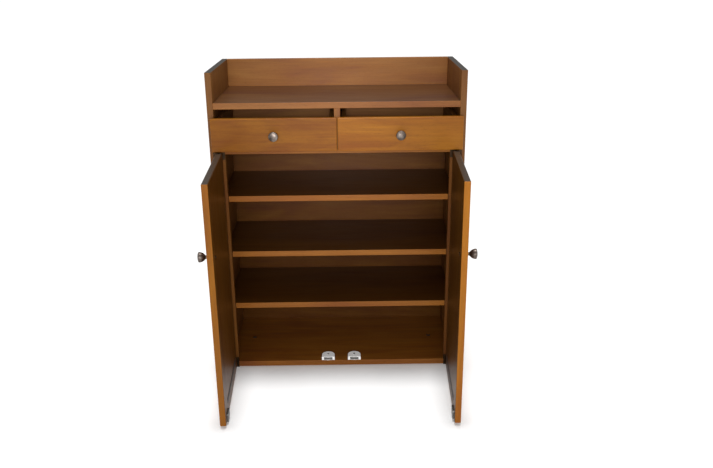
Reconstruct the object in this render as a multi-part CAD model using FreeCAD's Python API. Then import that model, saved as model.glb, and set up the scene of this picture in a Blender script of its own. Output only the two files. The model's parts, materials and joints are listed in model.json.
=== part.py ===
"""Shoe cabinet: two doors, two drawers, three shelves and a gallery top.

Frame: +Z up, +X to the right as seen from the front, -Y towards the user.
The origin is on the floor, under the middle of the carcass. Millimetres.
The doors are drawn standing open and the drawers closed.
"""
import FreeCAD, Part
import math
import os

V = FreeCAD.Vector
UP = V(0, 0, 1)
ACROSS = V(1, 0, 0)
BACKWARDS = V(0, 1, 0)

# ---------------------------------------------------------------- driving dimensions
WIDTH = 800.0
DEPTH = 380.0
HEIGHT = 1000.0
BOARD = 19.0
STILE_WIDTH = 28.0         # upright inside each side's front edge, which the doors hang on
STILE_DEPTH = 21.5
CARCASS_EASE = 1.2         # radius of the rounded arrises
SHELF_EASE = 1.8
DRAWER_EASE = 2.2
DOOR_EASE = 2.8
HIDDEN_EASE = 0.8

TOP_BOARD_TOP = 908.0
DRAWER_FRONT_TOP = 863.0
DRAWER_FRONT_BOTTOM = 760.0
DOOR_TOP = 757.0
DOOR_BOTTOM = 7.0
DRAWER_FLOOR_TOP = 768.0
SHELF_TOPS = {"shelf_lower": 233.0, "shelf_middle": 418.0, "shelf_upper": 607.0}
SHELF_SETBACK = 22.0
SHELF_END_PLAY = 0.5
SHELF_BACK_PLAY = 1.0

FRONT_REVEAL = 10.0        # side edge left showing beside doors and drawer fronts
CENTRE_GAP = 3.0
DOOR_GAP = 6.5             # between the closed door and the carcass front
DRAWER_GAP = 1.0
DOOR_OPEN_DEG = 87.5

PIN_FROM_EDGE = 16.0       # hinge pin, from the door's hinge edge and inner face
PIN_FROM_INNER_FACE = 14.0
PIN_R = 2.0
PIN_SHORT = 2.0            # pin end short of the bush's end
BUSH_BORE_R = 2.05
BUSH_R = 3.5
BUSH_LENGTH = 12.0
BUSH_FLANGE_R = 4.5
BUSH_FLANGE = 2.5
LEAF = 2.0                 # hinge leaf let into the front edges
LEAF_TAIL = 17.0           # how far it runs up or down the stile
LEAF_SHORT = 1.0           # leaf end short of the board's far face
LEAF_SCREW_X = 7.0         # from the stile's inner face
TONGUE = 1.5
TONGUE_HALF = 8.0
TONGUE_ABOVE_DOOR = 0.8

BACK_PANEL = 5.0
BACK_INSET = 15.0
GROOVE = 6.0
GALLERY_REBATE = 6.0       # the gallery back stands in the top board's rear edge

BOX_SIDE = 12.0
BOX_HEIGHT = 80.0
BOX_LENGTH = 330.0
BOX_LIFT = 8.0             # box underside above the drawer floor
BOX_CLEARANCE = 4.0        # box side to carcass
BOX_BOTTOM = 4.0
RUNNER_WIDTH = 10.0
RUNNER_HEIGHT = 17.0
RUNNER_PLAY = 0.5
RUNNER_GROOVE = 7.0
RUNNER_END = 4.0           # runner ends short of the front and of the back panel
RUNNER_SCREW_INSET = 40.0
RUNNER_SCREW_OUTER = 18.0
RUNNER_SCREW_INNER = 14.0

KNOB_PROJECTION = 31.0
KNOB_CAP_R = 15.0
KNOB_FOOT_R = 6.5
KNOB_FOOT = 1.5
KNOB_NECK_R = 5.0
DOOR_KNOB_Z = 535.0
DOOR_KNOB_FROM_EDGE = 42.0
KNOB_SCREW_IN = 12.0       # how far the screw goes into the knob

SCREW_R = 2.0
SCREW_HEAD_R = 4.2
SCREW_HEAD = 2.2
SCREW_CROWN = 1.2
LEAF_SCREW = 18.0

CATCH_WIDTH = 44.0
CATCH_DEPTH = 43.0
CATCH_HEIGHT = 12.0
CATCH_SETBACK = 1.5
CATCH_X = 45.0
CATCH_EASE = 1.6
CATCH_SCREW = 8.0          # catch screw into the bottom board
CATCH_SCREW_HEAD_R = 3.5
MAGNET_WIDTH = 29.0
MAGNET_HEIGHT = 8.0
MAGNET_LENGTH = 14.0
MAGNET_LIFT = 2.0
MAGNET_PROUD = 0.5         # magnet face in front of the carcass
STRIKE_THICK = 5.0
STRIKE_HEIGHT = 26.0
STRIKE_LIFT = 1.0
STRIKE_CORNER = 4.0
STRIKE_SCREW_X = 14.0
STRIKE_SCREW_Z = 8.0
STRIKE_SCREW = 12.0        # strike screw into the door

SEAL_HEIGHT = 17.0
SEAL_THICK = 0.8
SEAL_EASE = 0.3
SEAL_ABOVE_DOOR_BOTTOM = 37.0
SEAL_SHORT_OF_EDGE = 72.0
SEAL_SHORT_OF_STILE = 2.0

DOWEL_R = 4.0
DOWEL_LENGTH = 30.0
DOWEL_INSET = 50.0
STILE_DOWELS = 3
STILE_DOWEL_DEPTH = 10.0   # into the side panel
SHELF_PIN_R = 2.5
SHELF_PIN_LENGTH = 18.0
SHELF_PIN_OUT = 8.0        # how far it stands out under the shelf
SHELF_PIN_FRONT = 60.0
SHELF_PIN_BACK = 70.0
CAM_R = 7.5
CAM_DEPTH = 12.5
CAM_FROM_EDGE = 34.0
BOTTOM_CAM_FROM_EDGE = 62.0
CAM_PROUD = 0.4
GLIDE_HEIGHT = 4.0
GLIDE_FOOT_R = 9.0
GLIDE_TOP_R = 8.0
GLIDE_FROM_SIDE = 6.0
GLIDE_FRONT = 40.0
GLIDE_BACK = 30.0

# ---------------------------------------------------------------- derived places
FRONT = -DEPTH / 2
BACK = DEPTH / 2
SIDE_X = WIDTH / 2 - BOARD
STILE_X = SIDE_X - STILE_WIDTH
BASE = GLIDE_HEIGHT
FLOOR_TOP = BASE + BOARD
OPENING_TOP = DRAWER_FLOOR_TOP - BOARD
PANEL_FRONT_Y = BACK - BACK_INSET - BACK_PANEL
FACE_X0 = CENTRE_GAP / 2
FACE_X1 = WIDTH / 2 - FRONT_REVEAL
PIN_X = FACE_X1 - PIN_FROM_EDGE
PIN_Y = FRONT - DOOR_GAP - PIN_FROM_INNER_FACE
CELL_X0 = BOARD / 2
CELL_X1 = SIDE_X
BOX_X0 = CELL_X0 + BOX_CLEARANCE
BOX_X1 = CELL_X1 - BOX_CLEARANCE
BOX_Z0 = DRAWER_FLOOR_TOP + BOX_LIFT
BOX_Z1 = BOX_Z0 + BOX_HEIGHT
RUNNER_Z = (BOX_Z0 + BOX_Z1) / 2
BOX_BOTTOM_Z = BOX_Z0 + GROOVE
DRAWER_MID_X = (FACE_X0 + FACE_X1) / 2
DRAWER_KNOB_Z = (DRAWER_FRONT_TOP + DRAWER_FRONT_BOTTOM) / 2
PAST = 1.0                 # how far a cutting tool runs past the face it opens

nodes = {}


# ---------------------------------------------------------------- shape helpers
def block(x0, x1, y0, y1, z0, z1):
    return Part.makeBox(x1 - x0, y1 - y0, z1 - z0, V(x0, y0, z0))


def board(x0, x1, y0, y1, z0, z1, ease=CARCASS_EASE):
    """A board with every arris rounded."""
    shape = block(x0, x1, y0, y1, z0, z1)
    return shape.makeFillet(ease, shape.Edges)


def rod(radius, length, start, direction):
    return Part.makeCylinder(radius, length, start, direction)


def mirrored(shape):
    return shape.mirror(V(0, 0, 0), ACROSS)


def group(shapes):
    return Part.makeCompound(shapes)


def both_sides(name, shape):
    nodes[name + "_right"] = shape
    nodes[name + "_left"] = mirrored(shape)


def pair(shapes):
    """The right-hand shapes and their mirror images, as one group."""
    return group(shapes + [mirrored(shape) for shape in shapes])


def pan_screw(under_head, direction, shank_length, head_r=SCREW_HEAD_R):
    """A screw whose shank runs along direction from the underside of its head."""
    head = Part.makeCylinder(head_r, SCREW_HEAD, under_head - direction * SCREW_HEAD, direction)
    crown = max(head.Edges, key=lambda edge: -edge.CenterOfMass.dot(direction))
    head = head.makeFillet(SCREW_CROWN, [crown])
    return head.fuse(rod(SCREW_R, shank_length, under_head, direction)).removeSplitter()


def flush_screw(surface, direction, shank_length):
    """A countersunk screw whose head is level with the surface."""
    head = Part.makeCone(SCREW_HEAD_R, SCREW_R, SCREW_HEAD, surface, direction)
    shank = rod(SCREW_R, shank_length, surface + direction * SCREW_HEAD, direction)
    return head.fuse(shank).removeSplitter()


# ---------------------------------------------------------------- hinge leaves and pins
def hinge_leaf(top):
    """A steel leaf let into the front edges, with the door's pivot pin on its tongue."""
    if top:
        tongue_z0 = DOOR_TOP + TONGUE_ABOVE_DOOR
        tongue_z1 = tongue_z0 + TONGUE
        z0 = OPENING_TOP - LEAF_TAIL
        z1 = DRAWER_FLOOR_TOP - LEAF_SHORT
        pin = rod(PIN_R, tongue_z1 - DOOR_TOP + BUSH_LENGTH - PIN_SHORT, V(PIN_X, PIN_Y, tongue_z1), -UP)
    else:
        tongue_z0 = BASE - LEAF
        tongue_z1 = BASE
        z0 = tongue_z0
        z1 = FLOOR_TOP + LEAF_TAIL
        pin = rod(PIN_R, DOOR_BOTTOM - tongue_z0 + BUSH_LENGTH - PIN_SHORT, V(PIN_X, PIN_Y, tongue_z0), UP)
    upright = block(STILE_X, FACE_X1, FRONT, FRONT + LEAF, z0, z1)
    tongue = block(PIN_X - TONGUE_HALF, PIN_X + TONGUE_HALF, PIN_Y, FRONT + LEAF, tongue_z0, tongue_z1)
    nose = rod(TONGUE_HALF, tongue_z1 - tongue_z0, V(PIN_X, PIN_Y, tongue_z0), UP)
    return upright.fuse([tongue, nose, pin]).removeSplitter()


LEAF_TOP = hinge_leaf(True)
LEAF_BOTTOM = hinge_leaf(False)
LEAF_SCREW_HEIGHTS = [
    OPENING_TOP - LEAF_TAIL / 2,
    OPENING_TOP + BOARD / 2,
    BASE + BOARD / 2,
    FLOOR_TOP + LEAF_TAIL / 2,
]
LEAF_SCREWS = [flush_screw(V(STILE_X + LEAF_SCREW_X, FRONT, z), BACKWARDS, LEAF_SCREW)
               for z in LEAF_SCREW_HEIGHTS]


def let_in(shape, tools):
    """Cut the recesses and holes that a board needs for the pieces let into it."""
    for tool in tools:
        if shape.BoundBox.intersect(tool.BoundBox):
            shape = shape.cut(tool)
    return shape


# ---------------------------------------------------------------- carcass
def dowel_rows(z_mid):
    """Dowels from one board end into the side panel, as right-hand solids."""
    ys = [FRONT + DOWEL_INSET, BACK - DOWEL_INSET]
    return [rod(DOWEL_R, DOWEL_LENGTH, V(SIDE_X - DOWEL_LENGTH / 2, y, z_mid), ACROSS) for y in ys]


def stile_dowels():
    """Dowels from the right-hand stile into its side panel."""
    step = (OPENING_TOP - FLOOR_TOP) / (STILE_DOWELS + 1)
    x0 = SIDE_X + STILE_DOWEL_DEPTH - DOWEL_LENGTH
    heights = [FLOOR_TOP + step * (i + 1) for i in range(STILE_DOWELS)]
    return [rod(DOWEL_R, DOWEL_LENGTH, V(x0, FRONT + STILE_DEPTH / 2, z), ACROSS) for z in heights]


def cam_lock(x, surface_z, direction):
    """A cam lock sunk into a board from the surface that it starts at."""
    return rod(CAM_R, CAM_DEPTH, V(x, 0, surface_z), direction)


def shelf_pin_row():
    """Two pins under the right-hand end of each shelf."""
    pins = []
    for shelf_top in SHELF_TOPS.values():
        for y in (FRONT + SHELF_PIN_FRONT, BACK - SHELF_PIN_BACK):
            z = shelf_top - BOARD - SHELF_PIN_R
            pins.append(rod(SHELF_PIN_R, SHELF_PIN_LENGTH, V(SIDE_X - SHELF_PIN_OUT, y, z), ACROSS))
    return pins


def glide(x, y):
    return Part.makeCone(GLIDE_FOOT_R, GLIDE_TOP_R, GLIDE_HEIGHT, V(x, y, 0), UP)


def make_carcass():
    dowels = stile_dowels()
    for board_top in (TOP_BOARD_TOP, DRAWER_FLOOR_TOP, FLOOR_TOP):
        dowels += dowel_rows(board_top - BOARD / 2)
    cams = [cam_lock(SIDE_X - CAM_FROM_EDGE, TOP_BOARD_TOP - BOARD, UP),
            cam_lock(SIDE_X - CAM_FROM_EDGE, OPENING_TOP, UP),
            cam_lock(SIDE_X - BOTTOM_CAM_FROM_EDGE, FLOOR_TOP + CAM_PROUD, -UP)]
    pins = shelf_pin_row()
    back_groove = block(-SIDE_X - GROOVE, SIDE_X + GROOVE, PANEL_FRONT_Y, PANEL_FRONT_Y + BACK_PANEL,
                        FLOOR_TOP - GROOVE, TOP_BOARD_TOP - BOARD + GROOVE)
    gallery_rebate = block(-SIDE_X, SIDE_X, BACK - BOARD, BACK + PAST, TOP_BOARD_TOP - GALLERY_REBATE,
                           TOP_BOARD_TOP + PAST)
    fittings = dowels + [LEAF_TOP, LEAF_BOTTOM] + LEAF_SCREWS

    side = board(SIDE_X, WIDTH / 2, FRONT, BACK, BASE, HEIGHT)
    both_sides("side_panel", let_in(side, fittings + pins + [back_groove]))

    stile = board(STILE_X, SIDE_X, FRONT, FRONT + STILE_DEPTH, FLOOR_TOP, OPENING_TOP)
    both_sides("front_stile", let_in(stile, fittings))

    both = fittings + cams
    both += [mirrored(tool) for tool in both]
    both.append(back_groove)
    top = board(-SIDE_X, SIDE_X, FRONT, BACK, TOP_BOARD_TOP - BOARD, TOP_BOARD_TOP)
    nodes["top_board"] = let_in(top, both + [gallery_rebate])
    nodes["bottom_board"] = let_in(board(-SIDE_X, SIDE_X, FRONT, BACK, BASE, FLOOR_TOP), both)
    nodes["drawer_floor"] = let_in(
        board(-SIDE_X, SIDE_X, FRONT, PANEL_FRONT_Y, OPENING_TOP, DRAWER_FLOOR_TOP), both)
    nodes["drawer_divider"] = board(-BOARD / 2, BOARD / 2, FRONT, PANEL_FRONT_Y,
                                    DRAWER_FLOOR_TOP, TOP_BOARD_TOP - BOARD)
    nodes["gallery_back"] = board(-SIDE_X, SIDE_X, BACK - BOARD, BACK, TOP_BOARD_TOP - GALLERY_REBATE, HEIGHT)
    nodes["back_panel"] = back_groove
    for name, shelf_top in SHELF_TOPS.items():
        nodes[name] = board(-SIDE_X + SHELF_END_PLAY, SIDE_X - SHELF_END_PLAY, FRONT + SHELF_SETBACK,
                            PANEL_FRONT_Y - SHELF_BACK_PLAY, shelf_top - BOARD, shelf_top, SHELF_EASE)
    nodes["carcass_dowels"] = pair(dowels)
    nodes["cam_locks"] = pair(cams)
    nodes["shelf_pins"] = pair(pins)
    nodes["hinge_screws"] = pair(LEAF_SCREWS)
    both_sides("hinge_leaf_top", LEAF_TOP.cut(group(LEAF_SCREWS)))
    both_sides("hinge_leaf_bottom", LEAF_BOTTOM.cut(group(LEAF_SCREWS)))
    glide_x = SIDE_X - GLIDE_FROM_SIDE
    glides = [glide(x, y) for x in (-glide_x, glide_x) for y in (FRONT + GLIDE_FRONT, BACK - GLIDE_BACK)]
    nodes["glides"] = group(glides + [glide(0, 0)])


def make_catches():
    """A magnetic catch beside the middle for each door: a rounded housing, a magnet and a screw."""
    round_r = CATCH_WIDTH / 2
    y0 = FRONT + CATCH_SETBACK
    y1 = y0 + CATCH_DEPTH
    z0 = FLOOR_TOP
    z1 = FLOOR_TOP + CATCH_HEIGHT
    front_part = block(CATCH_X - round_r, CATCH_X + round_r, y0, y1 - round_r, z0, z1)
    round_part = rod(round_r, CATCH_HEIGHT, V(CATCH_X, y1 - round_r, z0), UP)
    housing = front_part.fuse(round_part).removeSplitter()
    top_edges = [edge for edge in housing.Edges if edge.BoundBox.ZMin > z0 + CATCH_HEIGHT / 2]
    housing = housing.makeFillet(CATCH_EASE, top_edges)
    magnet = block(CATCH_X - MAGNET_WIDTH / 2, CATCH_X + MAGNET_WIDTH / 2, FRONT - MAGNET_PROUD,
                   y0 + MAGNET_LENGTH, z0 + MAGNET_LIFT, z0 + MAGNET_LIFT + MAGNET_HEIGHT)
    screw = pan_screw(V(CATCH_X, y1 - round_r, z1), -UP, CATCH_HEIGHT + CATCH_SCREW, CATCH_SCREW_HEAD_R)
    both_sides("catch_housing", housing.cut(magnet).cut(screw))
    nodes["catch_magnets"] = pair([magnet])
    nodes["catch_screws"] = pair([screw])
    nodes["bottom_board"] = nodes["bottom_board"].cut(nodes["catch_screws"])


# ---------------------------------------------------------------- knobs
def knob():
    """A bell-shaped knob on the +Z axis, its foot at the origin.

    The places along it are fractions of its projection, the radii fractions of its cap or neck.
    """
    p = KNOB_PROJECTION
    r = KNOB_CAP_R
    foot = [V(0, 0, 0), V(KNOB_FOOT_R, 0, 0), V(KNOB_FOOT_R, 0, KNOB_FOOT), V(KNOB_NECK_R, 0, 2 * KNOB_FOOT)]
    neck_end = V(KNOB_NECK_R * 1.3, 0, p * 0.30)
    rim_start = V(r * 0.97, 0, p * 0.74)
    rim_end = V(r * 0.93, 0, p * 0.91)
    neck = Part.Arc(foot[3], V(KNOB_NECK_R * 0.98, 0, p * 0.2), neck_end)
    bell = Part.Arc(neck_end, V(r * 0.79, 0, p * 0.49), rim_start)
    rim = Part.Arc(rim_start, V(r, 0, p * 0.82), rim_end)
    sag = p - rim_end.z
    dome_r = (rim_end.x ** 2 + sag ** 2) / (2 * sag)
    half = math.asin(rim_end.x / dome_r) / 2
    dome = Part.Arc(rim_end, V(dome_r * math.sin(half), 0, p - dome_r * (1 - math.cos(half))), V(0, 0, p))
    straight = [Part.LineSegment(start, end) for start, end in zip(foot, foot[1:])]
    outline = straight + [neck, bell, rim, dome, Part.LineSegment(V(0, 0, p), foot[0])]
    face = Part.Face(Part.Wire([curve.toShape() for curve in outline]))
    return face.revolve(V(0, 0, 0), UP, 360)


def facing_front(shape, place):
    """Turn a shape drawn along +Z so that it points along -Y from place."""
    turned = shape.copy()
    turned.rotate(V(0, 0, 0), ACROSS, 90)
    turned.translate(place)
    return turned


def knob_and_screw(x, face_y, z, panel):
    """A knob on the front face, and the screw that holds it from the back of the panel."""
    body = facing_front(knob(), V(x, face_y, z))
    screw = pan_screw(V(x, face_y + panel, z), -BACKWARDS, panel + KNOB_SCREW_IN)
    return body.cut(screw), screw


# ---------------------------------------------------------------- drawers
def drawer():
    """The right-hand drawer as named solids."""
    parts = {}
    face_back = FRONT - DRAWER_GAP
    back_y = face_back + BOX_LENGTH
    bottom = block(BOX_X0 + BOX_SIDE - GROOVE, BOX_X1 - BOX_SIDE + GROOVE, face_back - GROOVE, back_y,
                   BOX_BOTTOM_Z, BOX_BOTTOM_Z + BOX_BOTTOM)
    body, screw = knob_and_screw(DRAWER_MID_X, face_back - BOARD, DRAWER_KNOB_Z, BOARD)
    front = board(FACE_X0, FACE_X1, face_back - BOARD, face_back, DRAWER_FRONT_BOTTOM, DRAWER_FRONT_TOP,
                  DRAWER_EASE)
    parts["drawer_front"] = front.cut(bottom).cut(screw)
    groove_z0 = RUNNER_Z - RUNNER_HEIGHT / 2 - RUNNER_PLAY
    groove_z1 = RUNNER_Z + RUNNER_HEIGHT / 2 + RUNNER_PLAY
    walls = {"outer": (BOX_X1 - BOX_SIDE, BOX_X1, BOX_X1 - RUNNER_GROOVE, BOX_X1 + PAST),
             "inner": (BOX_X0, BOX_X0 + BOX_SIDE, BOX_X0 - PAST, BOX_X0 + RUNNER_GROOVE)}
    for place, (x0, x1, groove_x0, groove_x1) in walls.items():
        wall = board(x0, x1, face_back, back_y, BOX_Z0, BOX_Z1, HIDDEN_EASE)
        groove = block(groove_x0, groove_x1, face_back, back_y + PAST, groove_z0, groove_z1)
        parts["drawer_wall_" + place] = wall.cut(groove).cut(bottom)
    parts["drawer_back"] = board(BOX_X0 + BOX_SIDE, BOX_X1 - BOX_SIDE, back_y - BOX_SIDE, back_y,
                                 BOX_BOTTOM_Z + BOX_BOTTOM, BOX_Z1, HIDDEN_EASE)
    parts["drawer_bottom"] = bottom
    parts["drawer_knob"] = body
    parts["drawer_knob_screw"] = screw
    return parts


def runners():
    """The two battens that the right-hand drawer slides on, and their screws."""
    y0 = FRONT + RUNNER_END
    y1 = PANEL_FRONT_Y - RUNNER_END
    z0 = RUNNER_Z - RUNNER_HEIGHT / 2
    z1 = RUNNER_Z + RUNNER_HEIGHT / 2
    outer = board(CELL_X1 - RUNNER_WIDTH, CELL_X1, y0, y1, z0, z1, HIDDEN_EASE)
    inner = board(CELL_X0, CELL_X0 + RUNNER_WIDTH, y0, y1, z0, z1, HIDDEN_EASE)
    screws = []
    for y in (y0 + RUNNER_SCREW_INSET, y1 - RUNNER_SCREW_INSET):
        screws.append(flush_screw(V(CELL_X1 - RUNNER_WIDTH, y, RUNNER_Z), ACROSS, RUNNER_SCREW_OUTER))
        screws.append(flush_screw(V(CELL_X0 + RUNNER_WIDTH, y, RUNNER_Z), -ACROSS, RUNNER_SCREW_INNER))
    return outer, inner, screws


def make_drawers():
    for name, shape in drawer().items():
        both_sides(name, shape)
    outer, inner, screws = runners()
    holes = group(screws)
    both_sides("runner_outer", outer.cut(holes))
    both_sides("runner_inner", inner.cut(holes))
    nodes["runner_screws"] = pair(screws)
    both_sides("side_panel", nodes["side_panel_right"].cut(holes))
    nodes["drawer_divider"] = nodes["drawer_divider"].cut(nodes["runner_screws"])


# ---------------------------------------------------------------- doors
def door():
    """The right-hand door as named solids, in its closed place."""
    parts = {}
    inner_y = FRONT - DOOR_GAP
    outer_y = inner_y - BOARD
    body, screw = knob_and_screw(FACE_X0 + DOOR_KNOB_FROM_EDGE, outer_y, DOOR_KNOB_Z, BOARD)
    foot_socket = rod(BUSH_R, BUSH_LENGTH, V(PIN_X, PIN_Y, DOOR_BOTTOM), UP)
    head_socket = rod(BUSH_R, BUSH_LENGTH, V(PIN_X, PIN_Y, DOOR_TOP), -UP)
    flange = rod(BUSH_FLANGE_R, BUSH_FLANGE, V(PIN_X, PIN_Y, DOOR_BOTTOM - BUSH_FLANGE), UP)
    bore = rod(BUSH_BORE_R, DOOR_TOP, V(PIN_X, PIN_Y, 0), UP)
    foot_bush = foot_socket.fuse(flange).removeSplitter().cut(bore)
    parts["pivot_bushes"] = group([foot_bush, head_socket.cut(bore)])
    panel = board(FACE_X0, FACE_X1, outer_y, inner_y, DOOR_BOTTOM, DOOR_TOP, DOOR_EASE)
    panel = panel.cut(group([foot_socket, head_socket])).cut(screw)
    strike_z0 = DOOR_BOTTOM + STRIKE_LIFT
    strike = block(CATCH_X - CATCH_WIDTH / 2, CATCH_X + CATCH_WIDTH / 2, inner_y, inner_y + STRIKE_THICK,
                   strike_z0, strike_z0 + STRIKE_HEIGHT)
    corners = [edge for edge in strike.Edges if edge.BoundBox.YLength > STRIKE_THICK / 2]
    strike = strike.makeFillet(STRIKE_CORNER, corners)
    strike_screws = [rod(SCREW_R, STRIKE_SCREW + STRIKE_THICK,
                         V(CATCH_X + dx, inner_y + STRIKE_THICK, strike_z0 + STRIKE_SCREW_Z), -BACKWARDS)
                     for dx in (-STRIKE_SCREW_X, STRIKE_SCREW_X)]
    seal_z0 = DOOR_BOTTOM + SEAL_ABOVE_DOOR_BOTTOM
    seal = board(FACE_X0 + SEAL_SHORT_OF_EDGE, STILE_X - SEAL_SHORT_OF_STILE, inner_y, inner_y + SEAL_THICK,
                 seal_z0, seal_z0 + SEAL_HEIGHT, SEAL_EASE)
    parts["strike_plate"] = strike.cut(group(strike_screws))
    parts["strike_screws"] = group(strike_screws)
    parts["seal_strip"] = seal
    parts["door_panel"] = panel.cut(group(strike_screws))
    parts["door_knob"] = body
    parts["door_knob_screw"] = screw
    return parts


def make_doors():
    for name, shape in door().items():
        opened = shape.copy()
        opened.rotate(V(PIN_X, PIN_Y, 0), UP, DOOR_OPEN_DEG)
        both_sides(name, opened)


# ---------------------------------------------------------------- build and write
make_carcass()
make_catches()
make_drawers()
make_doors()

os.makedirs("parts", exist_ok=True)
for name, shape in nodes.items():
    shape.exportStep("parts/" + name + ".step")
print(len(nodes), "nodes")
for name, shape in sorted(nodes.items()):
    box = shape.BoundBox
    print("%-26s solids %2d valid %s  x %.1f..%.1f y %.1f..%.1f z %.1f..%.1f" % (
        name, len(shape.Solids), shape.isValid(), box.XMin, box.XMax, box.YMin, box.YMax, box.ZMin, box.ZMax))
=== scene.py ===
"""Looks of the shoe cabinet: lacquered stained wood, bronze knobs, white catches.

Metres, in the frame of the CAD model: +Z up, -Y towards the user, origin on the floor.
"""
import json
import math

import bmesh
import bpy
from mathutils import Matrix, Vector

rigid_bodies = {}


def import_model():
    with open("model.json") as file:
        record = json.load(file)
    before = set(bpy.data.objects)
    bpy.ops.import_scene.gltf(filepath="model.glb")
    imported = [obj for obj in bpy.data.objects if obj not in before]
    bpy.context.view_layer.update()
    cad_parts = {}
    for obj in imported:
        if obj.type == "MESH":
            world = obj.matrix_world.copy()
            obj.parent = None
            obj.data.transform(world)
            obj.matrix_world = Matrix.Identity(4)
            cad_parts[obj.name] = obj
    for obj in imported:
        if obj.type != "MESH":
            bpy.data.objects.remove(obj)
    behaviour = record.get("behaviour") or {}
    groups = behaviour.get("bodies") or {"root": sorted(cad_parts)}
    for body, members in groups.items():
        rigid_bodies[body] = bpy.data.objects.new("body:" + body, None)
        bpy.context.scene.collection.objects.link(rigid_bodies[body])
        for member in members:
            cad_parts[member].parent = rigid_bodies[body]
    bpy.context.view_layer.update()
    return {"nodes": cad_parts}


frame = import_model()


# ---------------------------------------------------------------- node helpers
class Nodes:
    """A short way to write a material's node tree."""

    def __init__(self, name):
        self.material = bpy.data.materials.new(name)
        self.material.use_nodes = True
        self.tree = self.material.node_tree
        self.shader = self.tree.nodes["Principled BSDF"]

    def add(self, kind, **settings):
        node = self.tree.nodes.new(kind)
        for key, value in settings.items():
            setattr(node, key, value)
        return node

    def link(self, source, target):
        self.tree.links.new(source, target)

    def coordinates(self, scale, move=(0, 0, 0)):
        """Object coordinates, stretched and moved."""
        source = self.add("ShaderNodeTexCoord")
        mapping = self.add("ShaderNodeMapping")
        mapping.inputs["Location"].default_value = move
        mapping.inputs["Scale"].default_value = scale
        self.link(source.outputs["Object"], mapping.inputs["Vector"])
        return mapping.outputs["Vector"]

    def noise(self, vector, detail=4.0, roughness=0.55, distortion=0.0):
        """Noise at scale one: its coordinates carry the scale."""
        node = self.add("ShaderNodeTexNoise")
        node.inputs["Scale"].default_value = 1.0
        node.inputs["Detail"].default_value = detail
        node.inputs["Roughness"].default_value = roughness
        node.inputs["Distortion"].default_value = distortion
        self.link(vector, node.inputs["Vector"])
        return node.outputs["Fac"]

    def ramp(self, factor, stops):
        """A colour ramp; stops are (position, colour or grey)."""
        node = self.add("ShaderNodeValToRGB")
        ramp = node.color_ramp
        while len(ramp.elements) < len(stops):
            ramp.elements.new(0.5)
        for element, (position, colour) in zip(ramp.elements, stops):
            if not isinstance(colour, tuple):
                colour = (colour, colour, colour)
            element.position = position
            element.color = (*colour, 1.0)
        self.link(factor, node.inputs["Fac"])
        return node.outputs["Color"]

    def mix(self, factor, first, second, blend="MIX"):
        node = self.add("ShaderNodeMix", data_type="RGBA", blend_type=blend)
        for name, value in (("Factor", factor), ("A", first), ("B", second)):
            socket = node.inputs[name]
            if hasattr(value, "is_linked"):
                self.link(value, socket)
            elif isinstance(value, tuple):
                socket.default_value = (*value, 1.0)
            else:
                socket.default_value = value
        return node.outputs["Result"]

    def math(self, operation, first, second=0.5):
        node = self.add("ShaderNodeMath", operation=operation)
        for socket, value in zip(node.inputs, (first, second)):
            if hasattr(value, "is_linked"):
                self.link(value, socket)
            else:
                socket.default_value = value
        return node.outputs["Value"]

    def facing(self, direction):
        """One where the piece's own surface looks along direction at rest, zero elsewhere."""
        source = self.add("ShaderNodeTexCoord")
        dot = self.add("ShaderNodeVectorMath", operation="DOT_PRODUCT")
        self.link(source.outputs["Normal"], dot.inputs[0])
        dot.inputs[1].default_value = direction
        return self.ramp(dot.outputs["Value"], [(0.45, 0.0), (0.75, 1.0)])

    def arris(self):
        """One on the rounded edges, zero on the flat faces."""
        source = self.add("ShaderNodeTexCoord")
        parts = self.add("ShaderNodeSeparateXYZ")
        self.link(source.outputs["Normal"], parts.inputs["Vector"])
        x, y, z = (self.math("ABSOLUTE", parts.outputs[axis]) for axis in "XYZ")
        largest = self.math("MAXIMUM", self.math("MAXIMUM", x, y), z)
        return self.ramp(largest, [(0.90, 1.0), (0.98, 0.0)])

    def bump(self, height, strength, distance):
        node = self.add("ShaderNodeBump")
        node.inputs["Strength"].default_value = strength
        node.inputs["Distance"].default_value = distance
        self.link(height, node.inputs["Height"])
        self.link(node.outputs["Normal"], self.shader.inputs["Normal"])

    def set(self, **values):
        """Constant values on the shader's own sockets."""
        for key, value in values.items():
            self.shader.inputs[key.replace("_", " ")].default_value = value

    def colour(self, source):
        self.link(source, self.shader.inputs["Base Color"])

    def roughness(self, source):
        self.link(source, self.shader.inputs["Roughness"])


# ---------------------------------------------------------------- materials
WHITE = (1.0, 1.0, 1.0)
FORWARDS = (0.0, -1.0, 0.0)
UPWARDS = (0.0, 0.0, 1.0)

# Wood texture: detail per metre as (along the grain, across it).
CLOUD_SCALE = (2.2, 9.0)
FIGURE_SCALE = (1.6, 22.0)
FIBRE_SCALE = (9.0, 240.0)
FLECK_SCALE = (80.0, 620.0)
SEED_STEP = (1.73, 2.31, 0.97)      # moves each board to its own part of the textures

CLOUD_SHARE = 0.58                  # the stain's tone is part clouds and part figure
FIGURE_SHARE = 0.42
FIGURE_BEND = 2.0                   # how much more the figure is bent than the clouds
DARK_STAIN = (0.80, 0.70, 1.0)      # factors on a stain's red, green and blue
LIGHT_STAIN = (1.20, 1.32, 1.4)
FLECK_STRENGTH = 0.35
FLECK_HEIGHT = 0.6                  # against the fibre's height of one
ARRIS_PAINTED_HIGHLIGHT = 1.25                   # how much lighter the arrises are: a painted highlight on the rounded edges
WOOD_SPECULAR = 0.13
LACQUER_ROUGHNESS = 0.16
LACQUER_IOR = 1.5

BRONZE_DARK = (0.08, 0.064, 0.054)
BRONZE_MIDDLE = (0.15, 0.122, 0.105)
BRONZE_RUBBED = (0.28, 0.24, 0.21)

CATCH_PAINTED_LIGHT = 0.16                   # painted light on the catches, set to match the photo: white plastic emits nothing
FLOOR_GLOW = 0.12                   # keeps the studio floor white


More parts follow.
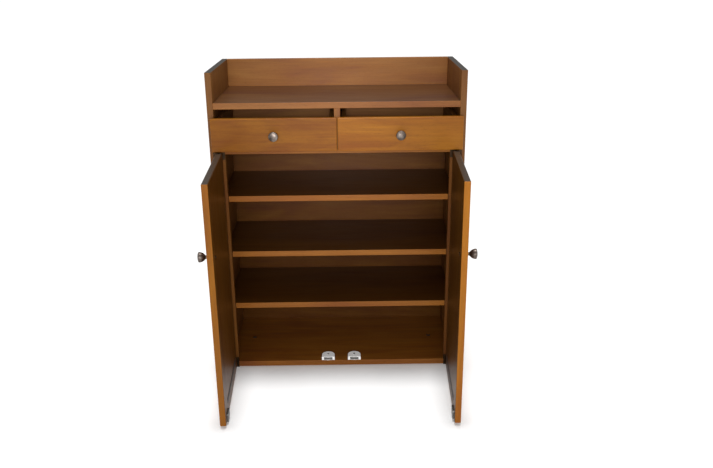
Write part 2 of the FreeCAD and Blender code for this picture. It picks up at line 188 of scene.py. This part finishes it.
def stretched(grain, along, across):
    """Texture scale that is small along the grain axis and large across it."""
    return tuple(along if axis == grain else across for axis in "xyz")


def shade_of(colour, factor):
    return tuple(channel * factor for channel in colour)


def tinted(colour, factors):
    return tuple(channel * factor for channel, factor in zip(colour, factors))


def grey(level):
    return (level, level, level)


def wood(name, grain, colour, seed, forward_painted_light=None, inner_face_painted_shade=None, top_painted_reflection=None, swirl=0.6, gloss=0.40,
         coat=0.05):
    """Stained, lacquered beech: soft clouds of stain, a long figure, fine fibre and short flecks.

    lipping is a factor of painted light and shade on the faces that look forwards at rest. inside
    is the direction of a face darkened with painted shade, and its shade factor. top is the colour
    of the face that looks up, a painted dark reflection; swirl how far the figure is bent, gloss
    the middle roughness and coat the weight of the lacquer.
    """
    n = Nodes(name)
    move = tuple(seed * step for step in SEED_STEP)
    cloud = n.noise(n.coordinates(stretched(grain, *CLOUD_SCALE), move), detail=3.0, roughness=0.55,
                    distortion=swirl)
    figure = n.noise(n.coordinates(stretched(grain, *FIGURE_SCALE), move), detail=4.0, roughness=0.5,
                     distortion=FIGURE_BEND * swirl)
    fibre = n.noise(n.coordinates(stretched(grain, *FIBRE_SCALE), move), detail=3.0, roughness=0.6)
    flecks = n.noise(n.coordinates(stretched(grain, *FLECK_SCALE), move), detail=2.0, roughness=0.5)
    tone = n.math("ADD", n.math("MULTIPLY", figure, FIGURE_SHARE), n.math("MULTIPLY", cloud, CLOUD_SHARE))
    body = n.ramp(tone, [(0.36, tinted(colour, DARK_STAIN)), (0.50, colour),
                         (0.64, tinted(colour, LIGHT_STAIN))])
    body = n.mix(1.0, body, n.ramp(fibre, [(0.30, 0.90), (0.70, 1.07)]), "MULTIPLY")
    # painted light and shade on the faces that look forwards, painted shade on an inner face
    shaded_faces = []
    if inner_face_painted_shade:
        shaded_faces.append(inner_face_painted_shade)
    if forward_painted_light:
        shaded_faces.append((FORWARDS, grey(forward_painted_light)))
    for direction, shade in shaded_faces:
        body = n.mix(1.0, body, n.mix(n.facing(direction), WHITE, shade), "MULTIPLY")
    # painted highlight: lighter on the rounded arrises
    body = n.mix(1.0, body, n.mix(n.arris(), WHITE, grey(ARRIS_PAINTED_HIGHLIGHT)), "MULTIPLY")
    # painted dark reflection on the face that looks up
    if top_painted_reflection:
        painted_reflection_colour = n.ramp(flecks, [(0.35, shade_of(top_painted_reflection, 0.7)), (0.65, shade_of(top_painted_reflection, 1.2))])
        body = n.mix(n.facing(UPWARDS), body, painted_reflection_colour)
    n.colour(n.mix(FLECK_STRENGTH, body, n.ramp(flecks, [(0.33, 0.62), (0.44, 1.0)]), "MULTIPLY"))
    n.roughness(n.ramp(fibre, [(0.3, gloss - 0.05), (0.7, gloss + 0.09)]))
    n.set(Coat_Weight=coat, Coat_Roughness=LACQUER_ROUGHNESS, Coat_IOR=LACQUER_IOR,
          Specular_IOR_Level=WOOD_SPECULAR)
    n.bump(n.math("ADD", fibre, n.math("MULTIPLY", flecks, FLECK_HEIGHT)), 0.16, 0.0003)
    return n.material


def bronze():
    """Antique bronze, rubbed brighter in patches."""
    n = Nodes("antique bronze")
    patches = n.noise(n.coordinates((90.0, 90.0, 90.0)), detail=6.0, roughness=0.7)
    grain = n.noise(n.coordinates((700.0, 700.0, 700.0)), detail=3.0)
    n.colour(n.ramp(patches, [(0.35, BRONZE_DARK), (0.52, BRONZE_MIDDLE), (0.72, BRONZE_RUBBED)]))
    n.roughness(n.ramp(patches, [(0.3, 0.50), (0.7, 0.36)]))
    n.set(Metallic=1.0)
    n.bump(grain, 0.25, 0.0002)
    return n.material


def steel(name, dark, bright, rough):
    """Plated steel with faint drawn lines and spots."""
    n = Nodes(name)
    lines = n.noise(n.coordinates((60.0, 60.0, 900.0)), detail=4.0, roughness=0.6)
    spots = n.noise(n.coordinates((160.0, 160.0, 160.0)), detail=5.0)
    line_colour = n.ramp(lines, [(0.35, dark), (0.7, bright)])
    spot_colour = n.ramp(spots, [(0.35, dark), (0.65, bright)])
    n.colour(n.mix(0.5, line_colour, spot_colour))
    n.roughness(n.ramp(spots, [(0.3, rough + 0.08), (0.7, rough - 0.06)]))
    n.set(Metallic=1.0)
    n.bump(lines, 0.15, 0.0001)
    return n.material


def plastic(name, low, high, rough, texture=420.0, depth=0.0002, coat=0.0, painted_light=0.0):
    """Moulded plastic with a fine cast texture and slight colour drift. glow is its emission, painted
    light on a plastic that gives off none.
    """
    n = Nodes(name)
    drift = n.noise(n.coordinates((22.0, 22.0, 22.0)), detail=4.0)
    cast = n.noise(n.coordinates((texture, texture, texture)), detail=3.0)
    n.colour(n.ramp(drift, [(0.3, low), (0.7, high)]))
    n.roughness(n.ramp(cast, [(0.3, rough - 0.05), (0.7, rough + 0.07)]))
    n.set(Coat_Weight=coat, Emission_Color=(*WHITE, 1.0), Emission_Strength=painted_light)
    n.bump(cast, 0.2, depth)
    return n.material


def floor_material():
    """A plain white studio floor."""
    n = Nodes("studio floor")
    mottle = n.noise(n.coordinates((3.0, 3.0, 3.0)), detail=3.0)
    n.colour(n.ramp(mottle, [(0.3, 0.90), (0.7, 0.92)]))
    n.set(Roughness=0.6, Emission_Color=(*WHITE, 1.0), Emission_Strength=FLOOR_GLOW)
    return n.material


# Stains, as linear colours. The cabinet has one stain; these four are lit and shaded copies of it, and
# painted shade darkens the top board's and the interior's.
FRONT_STAIN = (0.235, 0.078, 0.004)
BODY_STAIN = (0.210, 0.080, 0.018)
TOP_STAIN_PAINTED_SHADE = (0.095, 0.035, 0.009)
INSIDE_STAIN_PAINTED_SHADE = (0.130, 0.044, 0.006)

# Dark grey on the tops of the side panels and the doors: a painted dark reflection.
SIDE_TOP_PAINTED_REFLECTION = (0.040, 0.032, 0.024)
DOOR_TOP_PAINTED_REFLECTION = (0.055, 0.038, 0.026)

# Grain axis and stain of each board, then what wood() is told about painted light and shade on
# its forward faces, painted shade on the doors' inner faces, a painted dark reflection on its top
# and how far its figure swirls. The factors on the bottom board's, back panel's and shelves' stain
# are painted light and shade; the drawer fronts' are tone that differs board to board.
WOOD_NODES = {
    "side_panel": ("z", BODY_STAIN, {"forward_painted_light": 0.75, "top_painted_reflection": SIDE_TOP_PAINTED_REFLECTION}),
    "front_stile": ("z", INSIDE_STAIN_PAINTED_SHADE, {"forward_painted_light": 1.1}),
    "top_board": ("x", TOP_STAIN_PAINTED_SHADE, {"forward_painted_light": 2.4}),
    "gallery_back": ("x", BODY_STAIN, {"forward_painted_light": 1.5}),
    "bottom_board": ("x", shade_of(INSIDE_STAIN_PAINTED_SHADE, 2.1), {"forward_painted_light": 0.9, "swirl": 1.4}),
    "drawer_floor": ("x", INSIDE_STAIN_PAINTED_SHADE, {"forward_painted_light": 1.6}),
    "drawer_divider": ("z", BODY_STAIN, {"forward_painted_light": 1.0}),
    "back_panel": ("x", shade_of(INSIDE_STAIN_PAINTED_SHADE, 0.95), {"swirl": 1.2}),
    "shelf": ("x", shade_of(INSIDE_STAIN_PAINTED_SHADE, 0.75), {"forward_painted_light": 2.9}),
    "drawer_front_left": ("x", shade_of(FRONT_STAIN, 0.90), {"swirl": 1.8}),
    "drawer_front_right": ("x", shade_of(FRONT_STAIN, 1.06), {"swirl": 1.8}),
    # painted shade darkens the doors' inner faces
    "door_panel_left": ("z", FRONT_STAIN, {"forward_painted_light": 1.0, "inner_face_painted_shade": ((1.0, 0.0, 0.0), grey(0.40)),
                                           "top_painted_reflection": DOOR_TOP_PAINTED_REFLECTION}),
    "door_panel_right": ("z", FRONT_STAIN, {"forward_painted_light": 1.35, "inner_face_painted_shade": ((-1.0, 0.0, 0.0), grey(0.31)),
                                            "top_painted_reflection": DOOR_TOP_PAINTED_REFLECTION}),
    "drawer_wall": ("y", BODY_STAIN, {}),
    "drawer_back": ("x", BODY_STAIN, {}),
    "drawer_bottom": ("x", INSIDE_STAIN_PAINTED_SHADE, {}),
}


def dress(node, material):
    """Give a CAD node one material."""
    mesh = bpy.data.objects[node].data
    mesh.materials.clear()
    mesh.materials.append(material)


def longest_match(node, names):
    return max((name for name in names if node.startswith(name)), key=len, default=None)


def dress_all():
    metal = bronze()
    dark = steel("dark bronzed steel", (0.020, 0.012, 0.007), (0.060, 0.036, 0.020), 0.42)
    bright = steel("nickel plated steel", (0.42, 0.42, 0.42), (0.78, 0.77, 0.75), 0.26)
    zinc = steel("zinc plate", (0.20, 0.21, 0.22), (0.50, 0.51, 0.53), 0.34)
    magnet = steel("magnet pole plates", (0.10, 0.095, 0.09), (0.26, 0.25, 0.24), 0.5)
    # the catches' white plastic glows with painted light
    white = plastic("white plastic", (0.90, 0.89, 0.87), (0.95, 0.945, 0.93), 0.36, coat=0.2,
                    painted_light=CATCH_PAINTED_LIGHT)
    brown = plastic("brown plastic", (0.045, 0.022, 0.012), (0.075, 0.038, 0.02), 0.42)
    nylon = plastic("black nylon", (0.012, 0.011, 0.011), (0.03, 0.028, 0.026), 0.5)
    rubber = plastic("brown rubber", (0.018, 0.008, 0.004), (0.034, 0.016, 0.008), 0.68, texture=900.0,
                     depth=0.0003)
    dowel = wood("bare dowel wood", "x", (0.52, 0.35, 0.19), 40, gloss=0.6, coat=0.0)
    finishes = {
        "door_knob_": metal, "drawer_knob_": metal, "door_knob_screw": dark, "drawer_knob_screw": bright,
        "hinge_leaf": dark, "hinge_screws": dark, "catch_housing": white, "catch_magnets": magnet,
        "catch_screws": bright, "cam_locks": zinc, "carcass_dowels": dowel, "glides": nylon,
        "pivot_bushes": nylon, "runner_inner": brown, "runner_outer": brown, "runner_screws": bright,
        "seal_strip": rubber, "shelf_pins": bright, "strike_plate": magnet, "strike_screws": dark,
    }
    for seed, node in enumerate(sorted(frame["nodes"])):
        board = longest_match(node, WOOD_NODES)
        if board:
            grain, stain, faces = WOOD_NODES[board]
            dress(node, wood("wood " + node.replace("_", " "), grain, stain, seed + 1, **faces))
        else:
            dress(node, finishes[longest_match(node, finishes)])


# ---------------------------------------------------------------- studio
FLOOR_SIZE = 160.0
WORLD_STRENGTH = 0.36
SOFTBOX_PLACE, SOFTBOX_TARGET = (0.0, -4.2, 1.6), (0.0, 0.0, 0.45)
SOFTBOX_WIDTH, SOFTBOX_HEIGHT, SOFTBOX_POWER = 1.6, 1.0, 62.0
BEAM_PLACE, BEAM_TARGET = (0.0, -3.4, 1.35), (0.0, 0.0, 0.78)
BEAM_POWER, BEAM_CONE, BEAM_RADIUS = 235.0, 15.0, 0.25
OVERHEAD_STRENGTH, OVERHEAD_SPREAD, OVERHEAD_LEAN = 2.45, 12.0, -4.0


def plane(name, size, material):
    """A square at the origin."""
    mesh = bpy.data.meshes.new(name)
    shape = bmesh.new()
    bmesh.ops.create_grid(shape, x_segments=1, y_segments=1, size=0.5)
    shape.to_mesh(mesh)
    shape.free()
    obj = bpy.data.objects.new(name, mesh)
    obj.scale = (size, size, 1.0)
    mesh.materials.append(material)
    bpy.context.scene.collection.objects.link(obj)
    return obj


def aim(name, light, place, target):
    """Put a light at place, looking at target."""
    obj = bpy.data.objects.new(name, light)
    obj.location = place
    obj.rotation_euler = (Vector(target) - Vector(place)).to_track_quat("-Z", "Y").to_euler()
    bpy.context.scene.collection.objects.link(obj)


def softbox():
    """A broad light on the whole front."""
    light = bpy.data.lights.new("front softbox", "AREA")
    light.shape = "RECTANGLE"
    light.size = SOFTBOX_WIDTH
    light.size_y = SOFTBOX_HEIGHT
    light.energy = SOFTBOX_POWER
    aim("front softbox", light, SOFTBOX_PLACE, SOFTBOX_TARGET)


def centre_beam():
    """A soft-edged beam on the middle of the front."""
    light = bpy.data.lights.new("centre beam", "SPOT")
    light.energy = BEAM_POWER
    light.spot_size = math.radians(BEAM_CONE)
    light.spot_blend = 1.0
    light.shadow_soft_size = BEAM_RADIUS
    aim("centre beam", light, BEAM_PLACE, BEAM_TARGET)


def overhead():
    """A broad light from straight above, leaning a little from behind."""
    light = bpy.data.lights.new("overhead", "SUN")
    light.energy = OVERHEAD_STRENGTH
    light.angle = math.radians(OVERHEAD_SPREAD)
    obj = bpy.data.objects.new("overhead", light)
    obj.rotation_euler = (math.radians(OVERHEAD_LEAN), 0, 0)
    bpy.context.scene.collection.objects.link(obj)


def studio():
    plane("floor", FLOOR_SIZE, floor_material())
    scene = bpy.context.scene
    world = bpy.data.worlds.new("studio")
    scene.world = world
    world.use_nodes = True
    back = world.node_tree.nodes["Background"]
    back.inputs["Color"].default_value = (*WHITE, 1.0)
    back.inputs["Strength"].default_value = WORLD_STRENGTH
    softbox()
    centre_beam()
    overhead()
    scene.view_settings.view_transform = "Standard"


# ---------------------------------------------------------------- camera
CAMERA_PLACE = Vector((0.0356, -2.6757, 1.3086))
CAMERA_PITCH = -20.95               # degrees, as are yaw and roll
CAMERA_YAW = 0.46
CAMERA_ROLL = -0.56
CAMERA_LENS = 40.57                 # mm, on a sensor this wide
CAMERA_SENSOR = 36.0
CAMERA_SHIFT = 0.05


def camera():
    data = bpy.data.cameras.new("camera")
    data.lens = CAMERA_LENS
    data.sensor_width = CAMERA_SENSOR
    data.shift_y = CAMERA_SHIFT
    obj = bpy.data.objects.new("camera", data)
    look = (Matrix.Rotation(math.radians(-CAMERA_YAW), 4, "Z")
            @ Matrix.Rotation(math.radians(90.0 + CAMERA_PITCH), 4, "X")
            @ Matrix.Rotation(math.radians(CAMERA_ROLL), 4, "Z"))
    obj.matrix_world = Matrix.Translation(CAMERA_PLACE) @ look
    bpy.context.scene.collection.objects.link(obj)
    bpy.context.scene.camera = obj


dress_all()
studio()
camera()
